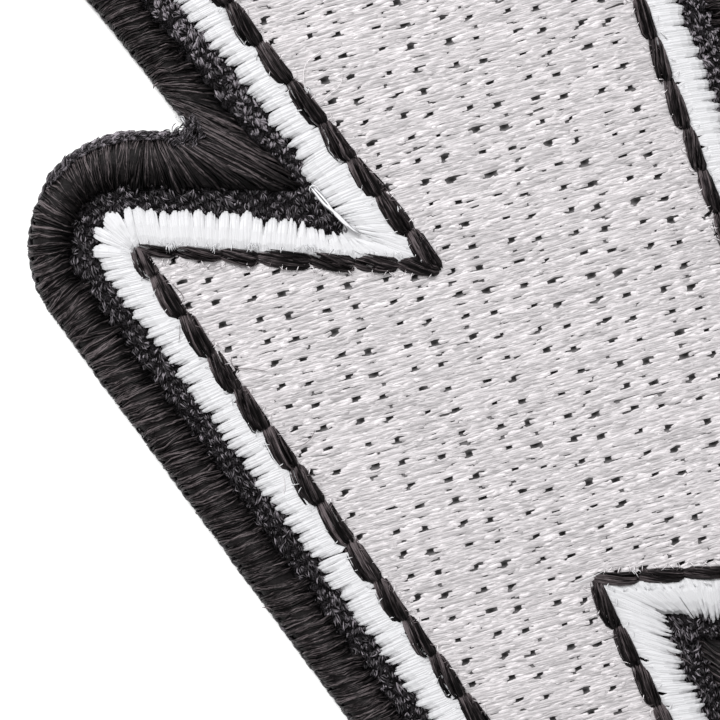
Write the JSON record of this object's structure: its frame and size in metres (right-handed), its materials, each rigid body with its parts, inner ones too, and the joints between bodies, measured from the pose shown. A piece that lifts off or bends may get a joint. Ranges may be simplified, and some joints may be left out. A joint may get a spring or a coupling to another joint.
{
  "type": "embroidered lightning bolt patch",
  "caption": "Embroidered cloth patch in the shape of a lightning bolt: silver filling, black stitched outline, white satin border and a thick black overlocked edge.",
  "frame": {"origin": "middle of the patch's bounding box, on its underside, where it rests on the table", "axes": "+Z out of the embroidered face, +Y up the bolt towards its wide head, +X across it to the right"},
  "size_m": [0.0972, 0.1506, 0.0023],
  "materials": {
    "black_twill": "matt woven twill",
    "silver_thread": "silky filament thread",
    "white_thread": "silky filament thread",
    "black_thread": "silky filament thread"
  },
  "bodies": {
    "root": {"twill_ground": "black_twill", "silver_fill": "silver_thread", "white_satin_border": "white_thread", "black_outline": "black_thread", "merrowed_edge": "black_thread"}
  },
  "joints": []
}
